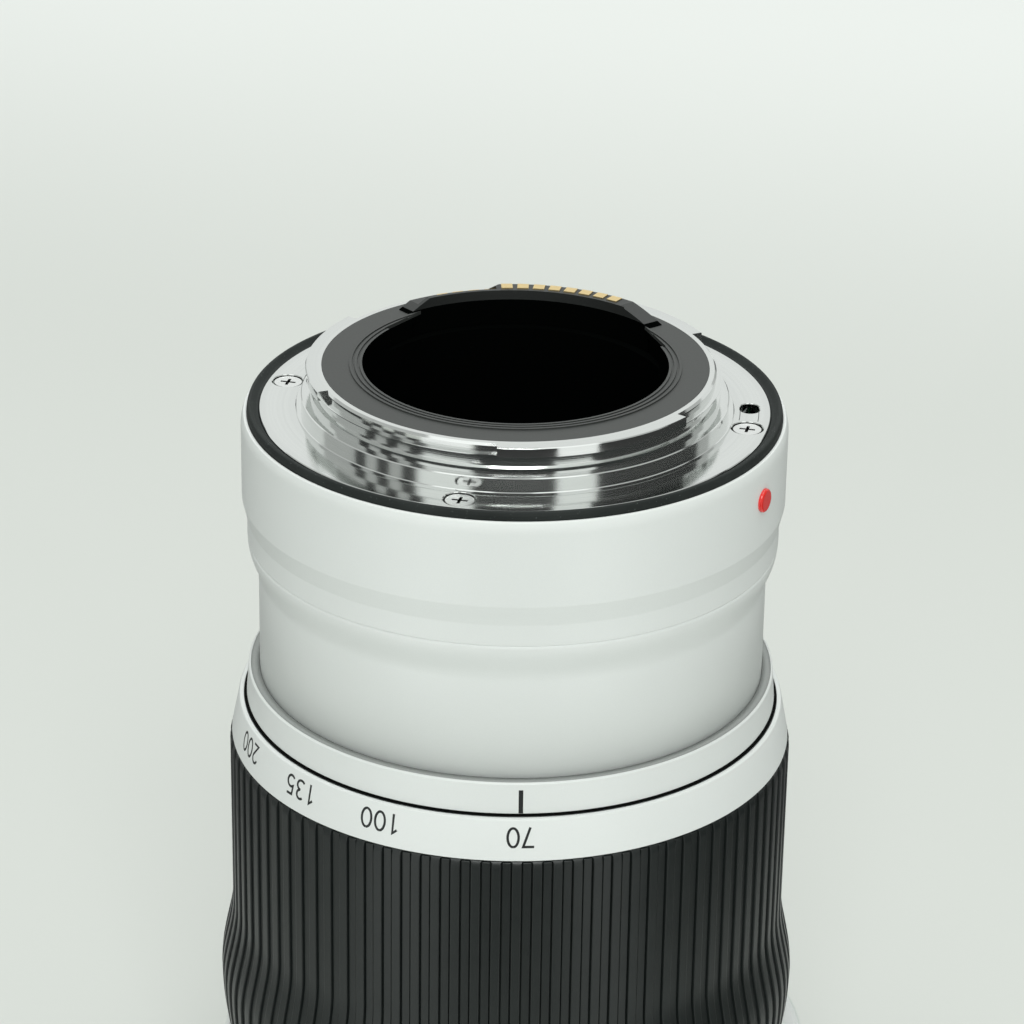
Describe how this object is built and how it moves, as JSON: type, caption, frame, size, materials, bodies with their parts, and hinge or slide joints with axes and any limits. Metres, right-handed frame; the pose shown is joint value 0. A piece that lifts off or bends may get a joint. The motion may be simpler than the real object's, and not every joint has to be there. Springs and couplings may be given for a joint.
{
  "type": "camera zoom lens",
  "caption": "White telephoto zoom lens with a bayonet mount, ribbed zoom grip, focal length scale and an extending front barrel.",
  "frame": {"origin": "on the optical axis, in the front plane of the front rim", "axes": "+Z along the optical axis towards the camera body; the index mark faces -Y and the switch panel +X"},
  "size_m": [0.0823, 0.082, 0.1264],
  "materials": {
    "white_paint": "satin off-white paint with a fine metallic grain",
    "mount_metal": "turned and plated metal",
    "screw_steel": "plain steel",
    "black_rubber": "matt black rubber",
    "black_plastic": "matt black moulded plastic",
    "black_metal": "black anodised aluminium",
    "plain_aluminium": "plain turned aluminium",
    "contact_gold": "gilded contacts",
    "contact_brass": "turned brass",
    "optical_glass": "coated optical glass",
    "dot_red": "glossy red pip",
    "board_plastic": "green circuit board",
    "panel_plastic": "pale grey switch panel",
    "switch_plastic": "black slide switch"
  },
  "bodies": {
    "lens_body": {"bayonet_mount": "mount_metal", "mount_screws": "screw_steel", "mount_gasket": "black_rubber", "rear_cover": "white_paint", "alignment_dot": "dot_red", "rear_frame": "plain_aluminium", "circuit_board": "board_plastic", "contact_block": "black_plastic", "contact_pads": "contact_gold", "rear_baffle": "black_plastic", "rear_lens_cell": "black_metal", "rear_lens": "optical_glass", "rear_barrel": "white_paint", "index_ring": "white_paint", "main_barrel": "plain_aluminium", "guide_tube": "plain_aluminium", "iris_housing": "black_plastic", "iris_blades": "screw_steel", "iris_cover": "black_plastic", "focus_rods": "screw_steel", "focus_motor": "black_plastic", "ring_seat": "black_plastic", "front_retainer": "black_metal", "spacer_ring": "white_paint", "switch_housing": "white_paint", "switch_panel": "panel_plastic"},
    "zoom_group": {"zoom_ring": "white_paint", "zoom_grip": "black_rubber", "cam_tube": "plain_aluminium", "zoom_key": "screw_steel"},
    "front_group": {"extension_tube": "black_metal", "extension_followers": "contact_brass", "front_rim": "black_metal", "front_lens_cell": "black_metal", "front_glass": "optical_glass", "doublet_glass": "optical_glass", "front_lock_ring": "black_metal"},
    "variator_group": {"variator_cell": "black_metal", "variator_followers": "contact_brass", "variator_glass": "optical_glass"},
    "focus_group": {"focus_cell": "black_plastic", "focus_glass": "optical_glass"},
    "focus_ring_group": {"focus_ring": "black_metal", "focus_grip": "black_rubber"},
    "control_ring_group": {"control_ring": "black_metal"},
    "focus_limit_slider": {"focus_limit_switch": "switch_plastic"},
    "focus_mode_slider": {"focus_mode_switch": "switch_plastic"},
    "stabiliser_slider": {"stabiliser_switch": "switch_plastic"},
    "stabiliser_mode_slider": {"stabiliser_mode_switch": "switch_plastic"},
    "zoom_lock": {"zoom_lock_slider": "switch_plastic"}
  },
  "joints": [
    {"name": "zoom_turn", "type": "hinge", "parent": "lens_body", "child": "zoom_group", "pos_m": [0, 0, 0], "axis": [0, 0, 1], "range_deg": [0, 70]},
    {"name": "front_extension", "type": "slide", "parent": "lens_body", "child": "front_group", "axis": [0, 0, -1], "range_m": [0, 0.052]},
    {"name": "variator_travel", "type": "slide", "parent": "lens_body", "child": "variator_group", "axis": [0, 0, -1], "range_m": [0, 0.018]},
    {"name": "focus_travel", "type": "slide", "parent": "lens_body", "child": "focus_group", "axis": [0, 0, 1], "range_m": [0, 0.007]},
    {"name": "focus_ring_turn", "type": "hinge", "parent": "lens_body", "child": "focus_ring_group", "pos_m": [0, 0, 0], "axis": [0, 0, 1], "continuous": true},
    {"name": "control_ring_turn", "type": "hinge", "parent": "lens_body", "child": "control_ring_group", "pos_m": [0, 0, 0], "axis": [0, 0, 1], "continuous": true},
    {"name": "focus_limit_travel", "type": "slide", "parent": "lens_body", "child": "focus_limit_slider", "axis": [0, 0, 1], "range_m": [0, 0.0024]},
    {"name": "focus_mode_travel", "type": "slide", "parent": "lens_body", "child": "focus_mode_slider", "axis": [0, 0, 1], "range_m": [0, 0.0024]},
    {"name": "stabiliser_travel", "type": "slide", "parent": "lens_body", "child": "stabiliser_slider", "axis": [0, 0, 1], "range_m": [0, 0.0024]},
    {"name": "stabiliser_mode_travel", "type": "slide", "parent": "lens_body", "child": "stabiliser_mode_slider", "axis": [0, 0, 1], "range_m": [0, 0.0024]},
    {"name": "zoom_lock_travel", "type": "slide", "parent": "lens_body", "child": "zoom_lock", "axis": [0, 0, 1], "range_m": [0, 0.0024]}
  ],
  "couplings": [
    {"joint": "front_extension", "follows": "zoom_turn", "m_per_rad": 0.04256},
    {"joint": "variator_travel", "follows": "zoom_turn", "m_per_rad": 0.01473}
  ]
}
